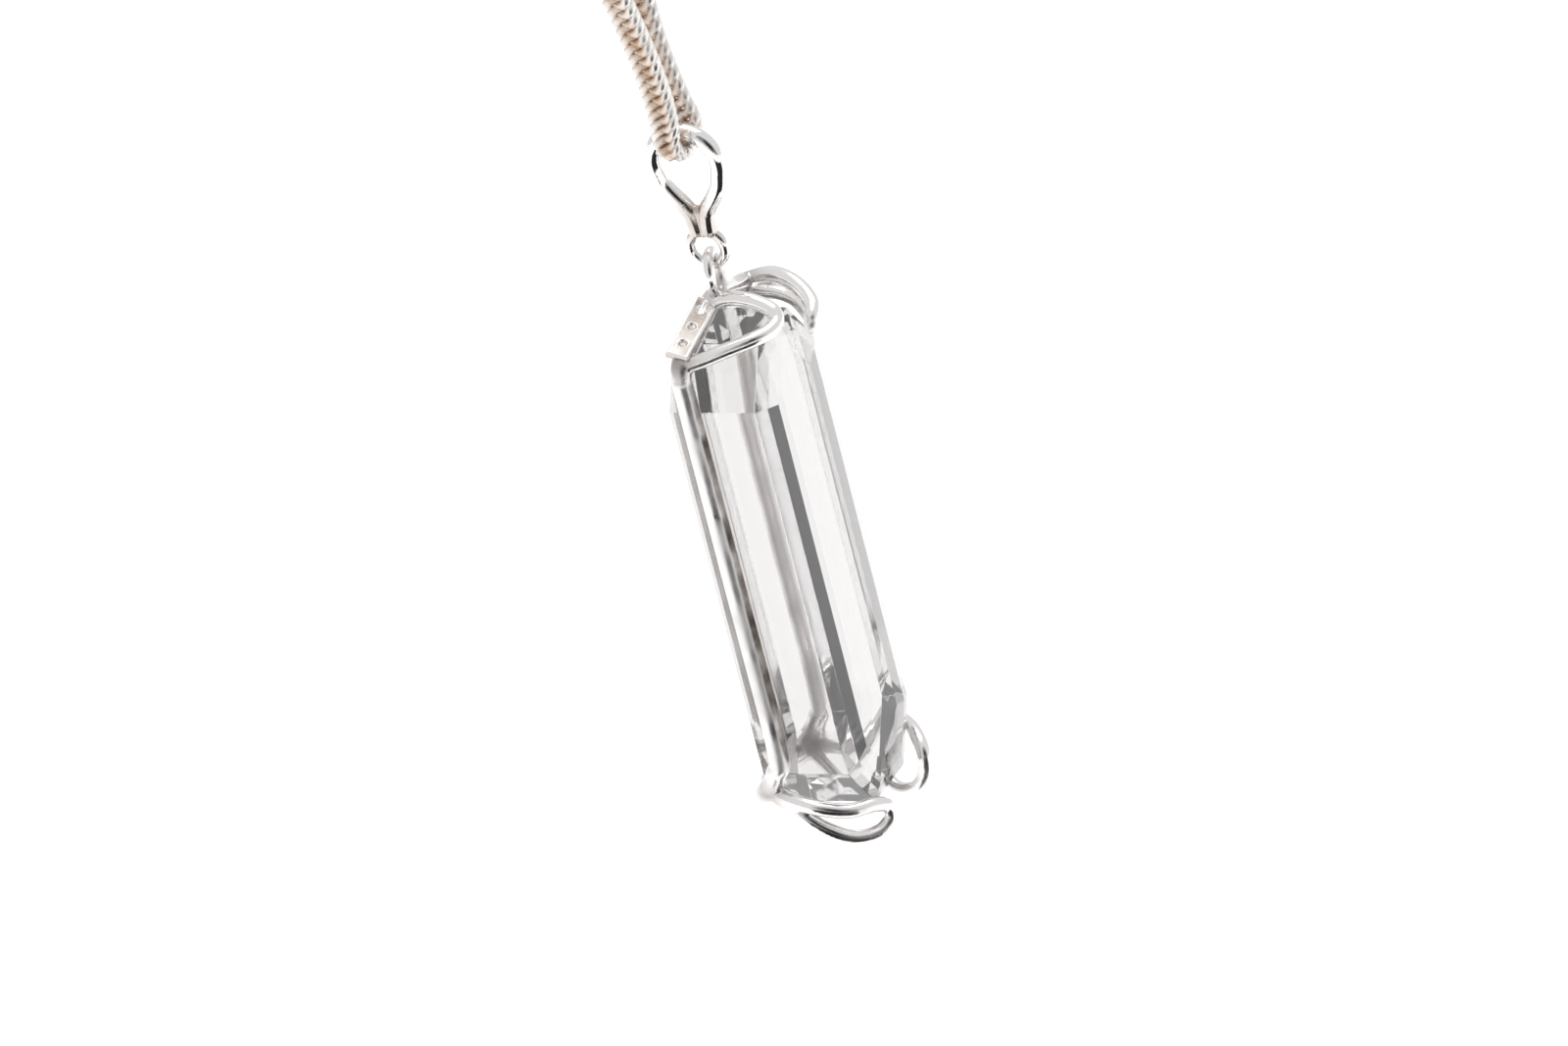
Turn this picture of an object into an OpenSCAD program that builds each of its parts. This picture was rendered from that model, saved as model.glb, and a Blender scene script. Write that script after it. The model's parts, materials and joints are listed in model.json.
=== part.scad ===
// Rock crystal pendant in a soldered wire frame, hanging by its bail on a fine chain.
// Millimetres. X is the pendant's width, -Y its front, +Z up.
// The origin is the top of the chain's loop, at the clasp, where the chain hangs.

/* [Stone] */
// Width of the stone, from side wall to side wall
stone_w = 7.2; // [6.4:0.1:7.3]
// Length of the stone, from end wall to end wall
stone_l = 24.6; // [20:0.1:24.6]
// Depth of the side walls, without the stepped faces
stone_wall = 4.4; // [3.6:0.1:4.5]
// Height of the stepped crown, the same on front and back
crown_h = 0.36; // [0.2:0.02:0.4]
// How far the table lies in from the side walls
table_in = 1.75; // [0.8:0.05:1.9]
// Where the edge between the two rows of facets lies, as a share of the table's inset
step_in = 0.45; // [0.3:0.05:0.5]
// Where that edge lies, as a share of the crown's height
step_out = 0.7; // [0.55:0.05:0.9]
// How far each corner is cut along the width
corner_x = 1.9; // [1.2:0.1:2.2]
// How far each corner is cut along the length
corner_z = 2.6; // [1.8:0.1:2.8]

/* [Frame] */
// Diameter of the hoop's wire
hoop_d = 1.0; // [0.8:0.05:1]
// Diameter of the prongs' wire
prong_d = 0.74; // [0.6:0.02:0.76]
// Diameter of the drop ring's wire
drop_d = 0.54; // [0.4:0.02:0.56]
// Mean height of the oval drop ring, from its middle
drop_r = 1.1; // [1.05:0.05:1.2]
// Mean half width of the drop ring
drop_w = 0.84; // [0.82:0.02:0.9]
// Length of the stamped plate on the top bar
plate_l = 3.7; // [3:0.1:3.9]
// Width of the stamped plate
plate_w = 1.1; // [0.9:0.01:1.3]
// Thickness of the stamped plate
plate_t = 0.36; // [0.3:0.02:0.5]

/* [Bail] */
// Width of the bail's wire
bail_d = 0.85; // [0.75:0.05:0.9]
// Mean radius of the bail's round top
bail_r = 1.65; // [1.6:0.05:1.8]
// Wire of the small ring at the bail's foot
foot_d = 0.5; // [0.4:0.02:0.5]
// Mean radius of the small ring at the bail's foot
foot_r = 0.87; // [0.85:0.01:0.95]

/* [Chain] */
// Length of the whole chain, with its clasp
chain_l = 450; // [400:5:550]
// Width across the chain's links
chain_d = 1.4; // [1.2:0.05:1.4]
// Angle between each leg of the chain and the vertical, in degrees
leg_a = 15; // [12:1:25]

/* [Clasp] */
// Mean radius of the clasp's ring
clasp_r = 2.3; // [2:0.1:3]
// Diameter of the clasp's tube
clasp_d = 1.1; // [0.9:0.05:1.2]
// Mean radius of the eyes on either side of the clasp
eye_r = 0.75; // [0.7:0.05:0.9]
// Diameter of the eyes' wire
eye_d = 0.5; // [0.4:0.05:0.5]

/* [Hidden] */

// Smallest space left between two pieces
gap = 0.06;

// The pendant's own heights, from the middle of its hoop
stone_z = -1;
rail_y = 0.72;
stone_y = rail_y - 0.8;
rail_x = stone_w / 2 + hoop_d / 2 + gap;
corner_h = 11.3;
apex_h = 12.75;
drop_z = apex_h + drop_r + 0.2;
drop_turn = 12;
foot_z = drop_z + drop_r - drop_d / 2 - foot_d / 2 - gap + foot_r;
bail_z = foot_z + 4.45;
rest_z = bail_z + bail_r - bail_d / 2 - chain_d / 2 - gap;

// The chain's loop: a round top, two legs, and a bend under the bail's top.
// The bend is square to the bail, and over it the legs turn about the vertical and lean back.
turn_a = 30;
turn_from = 2;
turn_l = 15;
lean = 0.1;
bend_r = bail_d / 2 + chain_d / 2 + 0.15;
loop_r = (chain_l - bend_r * (PI * (1 - leg_a / 90) - 2 / tan(leg_a)))
       / (PI * (1 + leg_a / 90) + 2 / tan(leg_a));
loop_z = -loop_r;
bend_z = loop_z - (loop_r - bend_r) / sin(leg_a);
hang_z = bend_z - bend_r - rest_z;

// Vectors
function unit(v) = v / norm(v);
function mirror_x(path) = [for (p = path) [-p[0], p[1], p[2]]];

// Smooth curve through a few points, with n steps between each two
function curve_point(a, b, c, d, t) =
    0.5 * (2 * b + (c - a) * t + (2 * a - 5 * b + 4 * c - d) * t * t
    + (3 * b - a - 3 * c + d) * t * t * t);
function curve(pts, n) = let (m = len(pts)) concat(
    [for (i = [0 : m - 2], k = [0 : n - 1])
        curve_point(pts[max(i - 1, 0)], pts[i], pts[i + 1], pts[min(i + 2, m - 1)], k / n)],
    [pts[m - 1]]);
function closed_curve(pts, n) = let (m = len(pts))
    [for (i = [0 : m - 1], k = [0 : n - 1])
        curve_point(pts[(i + m - 1) % m], pts[i], pts[(i + 1) % m], pts[(i + 2) % m], k / n)];

// Direction of a path at its point i
function along(path, i, closed) = let (m = len(path))
    closed ? unit(path[(i + 1) % m] - path[(i + m - 1) % m])
           : unit(path[min(i + 1, m - 1)] - path[max(i - 1, 0)]);

// Ring of points round a path's point: side is a direction that the path never takes
function ring_at(path, i, d, sides, side, closed) =
    let (t = along(path, i, closed), a = unit(side - (side * t) * t), b = cross(t, a))
    [for (k = [0 : sides - 1])
        path[i] + d / 2 * (cos(360 * k / sides) * a + sin(360 * k / sides) * b)];

// Round wire along a path, from its point first to its point last
module wire(path, d, sides, side, closed = false, first = 0, last = undef) {
    final = is_undef(last) ? len(path) - 1 : last;
    m = final - first + 1;
    points = [for (i = [first : final]) each ring_at(path, i, d, sides, side, closed)];
    spans = closed ? m : m - 1;
    walls = [for (i = [0 : spans - 1], k = [0 : sides - 1])
        let (j = (i + 1) % m, n = (k + 1) % sides)
        each [[i * sides + k, j * sides + k, j * sides + n],
              [i * sides + k, j * sides + n, i * sides + n]]];
    ends = closed ? [] : [
        [for (k = [0 : sides - 1]) k],
        [for (k = [0 : sides - 1]) (m - 1) * sides + sides - 1 - k]];
    polyhedron(points, concat(walls, ends));
}

// Outline of the stone with cut corners, drawn in by a distance
cut = norm([corner_x, corner_z]);
function cut_corner(inset) =
    let (w = stone_w / 2, e = stone_l / 2, c = corner_z * w + corner_x * (e - corner_z) - inset * cut)
    [[w - inset, (c - corner_z * (w - inset)) / corner_x],
     [(c - corner_x * (e - inset)) / corner_z, e - inset]];
function outline(inset, y) = let (q = cut_corner(inset), a = q[0], b = q[1]) [
    [a[0], y, -a[1]], [a[0], y, a[1]], [b[0], y, b[1]], [-b[0], y, b[1]],
    [-a[0], y, a[1]], [-a[0], y, -a[1]], [-b[0], y, -b[1]], [b[0], y, -b[1]]];

// Levels of the stone from back to front: column 0 is the inset, column 1 the depth
levels = [
    [table_in, stone_wall / 2 + crown_h],
    [table_in * step_in, stone_wall / 2 + crown_h * step_out],
    [0, stone_wall / 2],
    [0, -stone_wall / 2],
    [table_in * step_in, -stone_wall / 2 - crown_h * step_out],
    [table_in, -stone_wall / 2 - crown_h]];

module stone() {
    n = 8;
    last = len(levels) - 1;
    facets = [for (i = [0 : last - 1], k = [0 : n - 1])
        let (m = (k + 1) % n) [i * n + k, (i + 1) * n + k, (i + 1) * n + m, i * n + m]];
    color([0.93, 0.95, 0.96, 0.5])
    translate([0, stone_y, stone_z + hang_z])
        polyhedron([for (v = levels) each outline(v[0], v[1])],
            concat(facets, [[for (k = [0 : n - 1]) k]],
                [[for (k = [0 : n - 1]) last * n + n - 1 - k]]));
}

// Half of the hoop, from the middle of the foot to the apex, on the +X side.
// The foot passes behind the stone's end, and the top bars form a low gable over it.
hoop_half = [
    [0, 3.2, -12.5], [1.6, 3.15, -12.4], [3.1, 2.7, -12.0], [4.0, 1.8, -11.3],
    [rail_x, 1.1, -10.3], [rail_x, rail_y, -8.8], [rail_x, rail_y, 0], [rail_x, rail_y, 9.4],
    [rail_x - 0.05, rail_y, 10.7], [rail_x - 0.5, rail_y, corner_h + 0.15], [2.2, rail_y - 0.1, 12.0],
    [0.7, rail_y - 0.3, 12.65]];

module hoop() {
    top = [[0, rail_y - 0.35, apex_h]];
    back = [for (i = [len(hoop_half) - 1 : -1 : 1]) hoop_half[i]];
    wire(closed_curve(concat(hoop_half, top, mirror_x(back)), 3), hoop_d, 11, [0, 1, 0], true);
}

// Prongs: each is a bent loop of wire that starts and ends on the hoop.
// The wide one on the -X side of the top has one foot at the corner, the other at the apex.
prong_top_left = [
    [-3.9, 0.7, 11.3], [-3.6, -0.3, 11.5], [-3.2, -1.3, 11.75], [-2.6, -2.4, 11.95],
    [-1.8, -3.05, 12.0], [-1.1, -3.2, 12.2], [-0.8, -2.9, 12.6], [-0.7, -1.9, 13.0],
    [-0.6, -0.7, 13.05], [-0.6, 0.5, 12.7]];
prong_top_right = [
    [3.8, 0.7, 11.55], [4.05, -0.5, 11.75], [3.7, -1.6, 11.7], [3.1, -2.6, 11.4],
    [2.4, -3.25, 11.05], [1.8, -3.35, 10.6], [2.0, -3.15, 10.1], [2.65, -2.85, 10.2],
    [3.2, -2.05, 10.8], [3.45, -1.0, 11.1], [3.5, 0.4, 11.15]];
prong_foot_left = [
    [-4.0, 1.7, -11.3], [-4.3, 0.5, -11.7], [-4.3, -0.7, -12.1], [-3.7, -1.9, -12.6],
    [-2.7, -2.7, -12.85], [-2.1, -3.05, -13.3], [-2.2, -3.05, -13.95], [-2.8, -2.6, -14.3],
    [-3.6, -1.7, -14.1], [-4.1, -0.6, -13.3], [-4.2, 0.5, -12.3], [-3.9, 1.7, -11.5]];
prong_foot_right = [
    [3.95, 1.65, -11.35], [4.3, 0.4, -11.6], [4.05, -0.95, -11.95], [3.3, -2.2, -12.15],
    [2.45, -2.95, -12.35], [2.0, -3.3, -12.9], [1.9, -3.2, -13.8], [1.8, -2.6, -14.6],
    [2.0, -1.5, -14.8], [2.8, -0.3, -14.2], [3.6, 0.8, -13.0], [3.8, 1.8, -11.6]];

// The two strands meet at the tip, ring to ring
module prong(path, side) {
    route = curve(path, 3);
    tip = floor(len(route) / 2);
    wire(route, prong_d, 10, side, last = tip);
    wire(route, prong_d, 10, side, first = tip);
}

module drop_ring() {
    rotate([0, 0, drop_turn])
        wire([for (k = [0 : 23]) [drop_w * sin(15 * k), 0, drop_z - drop_r * cos(15 * k)]],
            drop_d, 12, [0, 1, 0], true);
}

// Flat plate on the top bar of the -X side, with three plain punch marks.
// It rises towards the apex, and its front edge is tilted down.
plate_at = [-2.35, 0.5, 12.6];
plate_tilt = [20, -17, -6];
module plate() {
    translate(plate_at)
        rotate([0, 0, plate_tilt[2]])
            rotate([0, plate_tilt[1], 0])
                rotate([plate_tilt[0], 0, 0])
                    difference() {
                        translate([-plate_l / 2, -plate_w / 2, -plate_t])
                            cube([plate_l, plate_w, plate_t]);
                        for (k = [-1 : 1])
                            translate([k * 1.05, 0, -0.08])
                                cylinder(d = 0.46, h = 1, $fn = 16);
                    }
}

// One skin over all the soldered wires
module soldered() {
    resize([0, 0, 0]) union() children();
}

module frame() {
    color([0.83, 0.82, 0.8])
    translate([0, 0, hang_z]) soldered() {
        hoop();
        prong(prong_top_left, [0, 0, 1]);
        prong(prong_top_right, [0, 0, 1]);
        prong(prong_foot_left, [1, 0, 0]);
        prong(prong_foot_right, [1, 0, 0]);
        plate();
        drop_ring();
    }
}

// Teardrop of wire with a small ring at its foot, both in the YZ plane.
// The two legs are soldered together over the ring, with the crotch filled.
foot_top = foot_z + foot_r;
leg_top_a = 20;
bail_half = concat(
    [[0, 0.3, foot_top + 0.1], [0, 0.38, foot_top + 0.8], [0, 0.6, foot_top + 1.3],
     [0, 0.98, foot_top + 1.8], [0, 1.37, foot_top + 2.4]],
    [for (a = [-leg_top_a : 15 : 85]) [0, bail_r * cos(a), bail_z + bail_r * sin(a)]]);

module bail() {
    other = [for (i = [len(bail_half) - 1 : -1 : 0]) [0, -bail_half[i][1], bail_half[i][2]]];
    color([0.85, 0.84, 0.82])
    translate([0, 0, hang_z]) soldered() {
        wire(curve(concat(bail_half, other), 2), bail_d, 12, [1, 0, 0]);
        wire([[0, 0, foot_top - 0.05], [0, 0, foot_top + 0.6], [0, 0, foot_top + 1.05]], 0.6, 10, [1, 0, 0]);
        translate([0, 0, foot_z])
            rotate([0, 90, 0])
                rotate_extrude($fn = 36)
                    translate([foot_r, 0])
                        circle(d = foot_d, $fn = 16);
    }
}

// Route of the chain, from the clasp's eye on the +X side round to the other eye
eye_reach = clasp_r + clasp_d / 2 + 2 * eye_r + eye_d / 2;
start_a = 90 - (eye_reach + gap) / loop_r * 180 / PI;
loop_half = [for (k = [0 : 19])
    let (a = start_a - k * (start_a + leg_a) / 19)
    [loop_r * cos(a), 0, loop_z + loop_r * sin(a)]];
bend_half = [for (k = [0 : 5])
    let (a = -leg_a - k * (90 - leg_a) / 5)
    [bend_r * cos(a), 0, bend_z + bend_r * sin(a)]];
leg_half = [for (k = [1 : 13])
    let (u = 1 - k / 14) bend_half[0] + (loop_half[19] - bend_half[0]) * u * u];
chain_half = concat(loop_half, leg_half, bend_half);

// The turn and the lean of a point of the chain, which fade out up the legs
function turned(p) =
    let (l = p[2] > bend_half[0][2] ? norm([abs(p[0]), 0, p[2]] - bend_half[0]) : 0,
         fade = exp(-pow(l / turn_l, 2)), a = turn_a * fade * (1 - exp(-l / turn_from)))
    [p[0] * cos(a), p[0] * sin(a) + lean * l * fade, p[2]];

module chain() {
    back = [for (i = [len(chain_half) - 2 : -1 : 0]) chain_half[i]];
    route = [for (p = concat(chain_half, mirror_x(back))) turned(p)];
    color([0.8, 0.79, 0.76])
        wire(route, chain_d, 8, [0, 1, 0]);
}

// Round clasp with an eye on either side
module eye(x) {
    translate([x, 0, 0])
        rotate([90, 0, 0])
            rotate_extrude($fn = 28)
                translate([eye_r, 0])
                    circle(d = eye_d, $fn = 12);
}

module clasp() {
    color([0.82, 0.81, 0.79]) {
        rotate([90, 0, 0])
            rotate_extrude($fn = 48)
                translate([clasp_r, 0])
                    circle(d = clasp_d, $fn = 16);
        for (side = [-1, 1])
            eye(side * (clasp_r + clasp_d / 2 + eye_r - 0.05));
    }
}

stone();
frame();
bail();
chain();
clasp();
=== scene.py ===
"""Rock crystal pendant on a fine silver chain, dressed over its fixed frame.

Sizes in the code are millimetres in the pendant's own heights, which start at the middle
of its hoop. They become metres in the shared frame when a mesh is made.
X is the pendant's width, -Y its front and +Z up.
"""
import json
import math

import bpy
import numpy as np
from mathutils import Matrix, Vector

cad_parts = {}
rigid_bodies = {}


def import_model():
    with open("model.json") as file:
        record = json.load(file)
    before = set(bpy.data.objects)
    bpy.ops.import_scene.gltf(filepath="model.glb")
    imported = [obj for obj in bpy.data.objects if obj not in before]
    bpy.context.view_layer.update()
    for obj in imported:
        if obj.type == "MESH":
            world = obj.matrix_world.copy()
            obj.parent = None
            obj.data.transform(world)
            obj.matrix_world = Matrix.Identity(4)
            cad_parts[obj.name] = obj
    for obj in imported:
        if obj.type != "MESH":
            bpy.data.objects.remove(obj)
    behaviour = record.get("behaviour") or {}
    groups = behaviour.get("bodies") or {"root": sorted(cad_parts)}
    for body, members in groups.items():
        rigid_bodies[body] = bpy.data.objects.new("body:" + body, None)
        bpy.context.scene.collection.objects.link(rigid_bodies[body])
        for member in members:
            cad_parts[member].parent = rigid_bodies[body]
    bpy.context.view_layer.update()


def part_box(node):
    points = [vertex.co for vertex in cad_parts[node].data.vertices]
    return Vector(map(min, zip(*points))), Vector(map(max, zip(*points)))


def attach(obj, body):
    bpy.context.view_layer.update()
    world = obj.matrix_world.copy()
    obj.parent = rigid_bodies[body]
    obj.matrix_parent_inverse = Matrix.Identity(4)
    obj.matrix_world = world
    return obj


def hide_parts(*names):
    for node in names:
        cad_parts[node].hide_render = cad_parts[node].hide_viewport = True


bl_info = {
    "name": "Rock crystal pendant",
    "version": (1, 0, 0),
    "blender": (4, 5, 0),
    "location": "3D View > Sidebar > Pendant",
    "description": "Makes the stone, wire frame, bail, chain, clasp and studio of a pendant",
    "category": "Add Mesh",
}

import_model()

MM = 0.001
# The stone's middle lies 1 mm under the middle of the hoop
STONE_Z = -1.0
# Height of the hoop's middle in the shared frame
HANG_Z = (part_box("stone")[0].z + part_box("stone")[1].z) / 2 / MM - STONE_Z


# Curves and grids

def unit(v):
    """Vectors of length one along the last axis."""
    return v / np.linalg.norm(v, axis=-1, keepdims=True)


def smooth_step(x, low, high):
    """0 below low, 1 above high, and 3t^2 - 2t^3 between them."""
    t = np.clip((np.asarray(x, float) - low) / (high - low), 0, 1)
    return t * t * (3 - 2 * t)


def curve(points, steps, closed=False):
    """Smooth curve through points: on each span, the cubic whose slope at a point is half
    the step from the point before it to the point after it."""
    p = np.asarray(points, float)
    if closed:
        a, b, c, d = np.roll(p, 1, 0), p, np.roll(p, -1, 0), np.roll(p, -2, 0)
    else:
        q = np.vstack([p[:1], p, p[-1:]])
        a, b, c, d = q[:-3], q[1:-2], q[2:-1], q[3:]
    t = (np.arange(steps) / steps)[None, :, None]
    a, b, c, d = a[:, None], b[:, None], c[:, None], d[:, None]
    route = 0.5 * (2 * b + (c - a) * t + (2 * a - 5 * b + 4 * c - d) * t ** 2
                   + (3 * b - a - 3 * c + d) * t ** 3)
    route = route.reshape(-1, 3)
    return route if closed else np.vstack([route, p[-1:]])


def along(path, closed=False):
    """Directions of a path: from each point's neighbour before it to the one after it."""
    if closed:
        return unit(np.roll(path, -1, 0) - np.roll(path, 1, 0))
    return unit(np.gradient(path, axis=0))


def grid_faces(rows, columns, wrap_rows=False, wrap_columns=True):
    """Quads of a grid of points, row after row, that look outwards when the columns turn
    anticlockwise round the direction of the rows."""
    i = np.arange(rows if wrap_rows else rows - 1)[:, None]
    k = np.arange(columns if wrap_columns else columns - 1)[None, :]
    j, n = (i + 1) % rows, (k + 1) % columns
    quads = np.stack([i * columns + k, i * columns + n, j * columns + n, j * columns + k], -1)
    return quads.reshape(-1, 4)


def wire(path, radius, sides, side, closed=False):
    """Round wire: at every point of the path a ring p + r (cos k a + sin k b), where a is the
    side made square to the path and b is square to both. The ends of an open wire are round:
    three more rings there shrink as a quarter circle does."""
    path = np.asarray(path, float)
    radius = np.broadcast_to(np.asarray(radius, float), (len(path),)).copy()
    if not closed:
        t0, t1 = unit(path[0] - path[1]), unit(path[-1] - path[-2])
        turn = np.radians([35, 65, 86])
        first = path[0] + t0 * (radius[0] * np.sin(turn[::-1]))[:, None]
        last = path[-1] + t1 * (radius[-1] * np.sin(turn))[:, None]
        radius = np.concatenate([radius[0] * np.cos(turn[::-1]), radius, radius[-1] * np.cos(turn)])
        path = np.vstack([first, path, last])
    t = along(path, closed)
    side = np.asarray(side, float)
    a = unit(side - (t @ side)[:, None] * t)
    b = np.cross(t, a)
    k = 2 * np.pi * np.arange(sides) / sides
    rings = (path[:, None] + radius[:, None, None]
             * (np.cos(k)[None, :, None] * a[:, None] + np.sin(k)[None, :, None] * b[:, None]))
    faces = grid_faces(len(path), sides, wrap_rows=closed).tolist()
    if not closed:
        top = (len(path) - 1) * sides
        faces += [list(range(sides))[::-1], list(range(top, top + sides))]
    return rings.reshape(-1, 3), faces


def together(shells):
    """Several meshes as one: their points in a row, and each one's faces moved up to match."""
    points, faces, start = [], [], 0
    for p, f in shells:
        points.append(p)
        faces += [[i + start for i in face] for face in f]
        start += len(p)
    return np.vstack(points), faces


# Meshes and pieces

def mesh_of(name, points, faces, scale=MM, rise=HANG_Z):
    """Mesh of points in millimetres, raised to the pendant's place and turned into metres."""
    mesh = bpy.data.meshes.new(name)
    moved = (np.asarray(points, float) + [0, 0, rise]) * scale
    mesh.from_pydata(moved.tolist(), [], faces)
    mesh.polygons.foreach_set("use_smooth", np.ones(len(mesh.polygons), bool))
    mesh.update()
    return mesh


def mask(mesh, name, values, domain="POINT"):
    """Stores one number a vertex, or a face, under a name, for a material to read."""
    layer = mesh.attributes.new(name, "FLOAT", domain)
    layer.data.foreach_set("value", np.asarray(values, np.float32))


def points_of(mesh):
    """Vertices of a mesh as an array, in metres."""
    flat = np.zeros(len(mesh.vertices) * 3, np.float32)
    mesh.vertices.foreach_get("co", flat)
    return flat.reshape(-1, 3).astype(float)


def face_widths(mesh):
    """Width of each face: twice its area over its outline's length."""
    area = np.zeros(len(mesh.polygons))
    mesh.polygons.foreach_get("area", area)
    ends = np.zeros(len(mesh.edges) * 2, int)
    mesh.edges.foreach_get("vertices", ends)
    points = points_of(mesh)
    long = np.linalg.norm(points[ends[::2]] - points[ends[1::2]], axis=1)
    used = np.zeros(len(mesh.loops), int)
    mesh.loops.foreach_get("edge_index", used)
    start = np.zeros(len(mesh.polygons), int)
    mesh.polygons.foreach_get("loop_start", start)
    return 2 * area / np.add.reduceat(long[used], start)


def fresh(store, name):
    """Takes out what an earlier run of an operator left under a name."""
    old = store.get(name)
    if old:
        store.remove(old)


def placed(name, data):
    """Object of some data, linked to the scene."""
    fresh(bpy.data.objects, name)
    obj = bpy.data.objects.new(name, data)
    bpy.context.scene.collection.objects.link(obj)
    return obj


def finished(form, name):
    """Mesh of an object with its modifiers applied. The object itself is taken out."""
    done = form.evaluated_get(bpy.context.evaluated_depsgraph_get())
    mesh = bpy.data.meshes.new_from_object(done)
    mesh.name = name
    bpy.data.objects.remove(form)
    return mesh


def piece(name, mesh, body, material, node=None):
    """Finished object at the origin that rides on a body and takes its finish from a slot."""
    obj = placed(name, mesh)
    mesh.materials.clear()
    mesh.materials.append(material)
    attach(obj, body)
    if node:
        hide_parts(node)


def soldered(name, shells, grain, rounds, joints, reach, painted_dark=None):
    """One skin over several wires, as after soldering: the shells are made again as one even
    grid, grain wide, and each vertex is moved to the mean of its neighbours a few times,
    which fills the corners. The mask 'joint' is 1 at the solder joints and falls to 0 at
    their reach, as exp(-(distance / reach)^2). A function of the points can add a painted dark
    reflection to it."""
    points, faces = together(shells)
    rough = placed("solder_form", mesh_of("solder_form", points, faces, 1.0, 0.0))
    skin = rough.modifiers.new("skin", "REMESH")
    skin.mode = "VOXEL"
    skin.voxel_size = grain
    fill = rough.modifiers.new("fill", "SMOOTH")
    fill.factor = 0.5
    fill.iterations = rounds
    mesh = finished(rough, name)
    points = points_of(mesh)
    near = np.min(np.linalg.norm(points[:, None] - np.asarray(joints, float)[None], axis=2), axis=1)
    stain = np.exp(-(near / reach) ** 2)
    # The mask: tarnish at the joints, and a painted dark reflection where the given function adds one
    mask(mesh, "joint", stain if painted_dark is None else np.maximum(stain, painted_dark(points)))
    moved = ((points + [0, 0, HANG_Z]) * MM).astype(np.float32)
    mesh.vertices.foreach_set("co", moved.ravel())
    mesh.polygons.foreach_set("use_smooth", np.ones(len(mesh.polygons), bool))
    mesh.update()
    return mesh


# Materials

def add(tree, kind, sockets=None, **fields):
    """New node of a kind: its own fields are set first, then the values of its sockets."""
    node = tree.nodes.new(kind)
    for field, value in fields.items():
        setattr(node, field, value)
    for label, value in (sockets or {}).items():
        node.inputs[label].default_value = value
    return node


def new_material(name):
    """Material made anew under a name, with its node tree and its shader."""
    fresh(bpy.data.materials, name)
    material = bpy.data.materials.new(name)
    material.use_nodes = True
    tree = material.node_tree
    return material, tree, tree.nodes["Principled BSDF"]


def silver_group():
    """Effect that all the silver uses: a warm tint where tarnish collects, a finish that is
    duller in cloudy patches and at the joints, and a finely uneven surface with small pits."""
    name = "Worked silver"
    if name in bpy.data.node_groups:
        return bpy.data.node_groups[name]
    group = bpy.data.node_groups.new(name, "ShaderNodeTree")
    face = group.interface
    wanted = [("Silver", "NodeSocketColor", (0.9, 0.89, 0.87, 1)),
              ("Tarnish", "NodeSocketColor", (0.4, 0.27, 0.17, 1)),
              ("Mask", "NodeSocketFloat", 0.0), ("Dullness", "NodeSocketFloat", 0.1),
              ("Marks", "NodeSocketFloat", 0.3), ("Scale", "NodeSocketFloat", 1.0)]
    for label, kind, value in wanted:
        face.new_socket(label, in_out="INPUT", socket_type=kind).default_value = value
    for label, kind in [("Color", "NodeSocketColor"), ("Roughness", "NodeSocketFloat"),
                        ("Height", "NodeSocketFloat")]:
        face.new_socket(label, in_out="OUTPUT", socket_type=kind)
    source, out = group.nodes.new("NodeGroupInput"), group.nodes.new("NodeGroupOutput")
    given, link = source.outputs, group.links.new
    place = add(group, "ShaderNodeTexCoord")
    sized = add(group, "ShaderNodeVectorMath", operation="SCALE")
    link(place.outputs["Object"], sized.inputs[0])
    link(given["Scale"], sized.inputs["Scale"])

    def noise(scale, detail):
        """Noise on the piece's own coordinates."""
        node = add(group, "ShaderNodeTexNoise", {"Scale": scale, "Detail": detail})
        link(sized.outputs[0], node.inputs["Vector"])
        return node.outputs["Fac"]

    def spread(value, low, high, to_low, to_high):
        """A value carried in a straight line from one range to another, and kept inside it."""
        node = add(group, "ShaderNodeMapRange",
                   {"From Min": low, "From Max": high, "To Min": to_low, "To Max": to_high})
        link(value, node.inputs["Value"])
        return node.outputs[0]

    def maths(kind, a, b):
        """One step of arithmetic on two sockets, or on a socket and a number."""
        node = add(group, "ShaderNodeMath", operation=kind)
        for socket, value in zip(node.inputs, (a, b)):
            if isinstance(value, (int, float)):
                socket.default_value = value
            else:
                link(value, socket)
        return node.outputs[0]

    # How many fit in a metre: clouds about 2 mm wide, flecks of 0.25 mm and pits of 0.4 mm
    cloud = noise(520, 4)
    fleck = noise(4200, 3)
    pit = noise(2600, 5)
    # The tarnish is the mask times 0.45 to 1.1 from cloud to cloud, and at most 1
    patch = spread(cloud, 0.35, 0.7, 0.45, 1.1)
    stain = maths("MINIMUM", maths("MULTIPLY", given["Mask"], patch), 1.0)
    tint = add(group, "ShaderNodeMix", data_type="RGBA")
    link(stain, tint.inputs["Factor"])
    link(given["Silver"], tint.inputs["A"])
    link(given["Tarnish"], tint.inputs["B"])
    link(tint.outputs["Result"], out.inputs["Color"])
    # The roughness is the dullness times 0.5 to 1.6, and up to 0.14 more where the mask is 1
    dull = maths("MULTIPLY", given["Dullness"], spread(cloud, 0.3, 0.75, 0.5, 1.6))
    link(maths("ADD", dull, maths("MULTIPLY", given["Mask"], 0.14)), out.inputs["Roughness"])
    # The height is the clouds, a quarter of the flecks, and pits that the mask makes deeper
    deep = spread(pit, 0.30, 0.42, -0.8, 0)
    holes = maths("MULTIPLY", deep, maths("ADD", given["Mask"], 0.12))
    rough = maths("ADD", holes, maths("MULTIPLY", fleck, 0.25))
    waves = maths("ADD", rough, cloud)
    link(maths("MULTIPLY", waves, given["Marks"]), out.inputs["Height"])
    return group


# How much duller the metal is where it is fully brushed
BRUSH_DULL = 0.36


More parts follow.
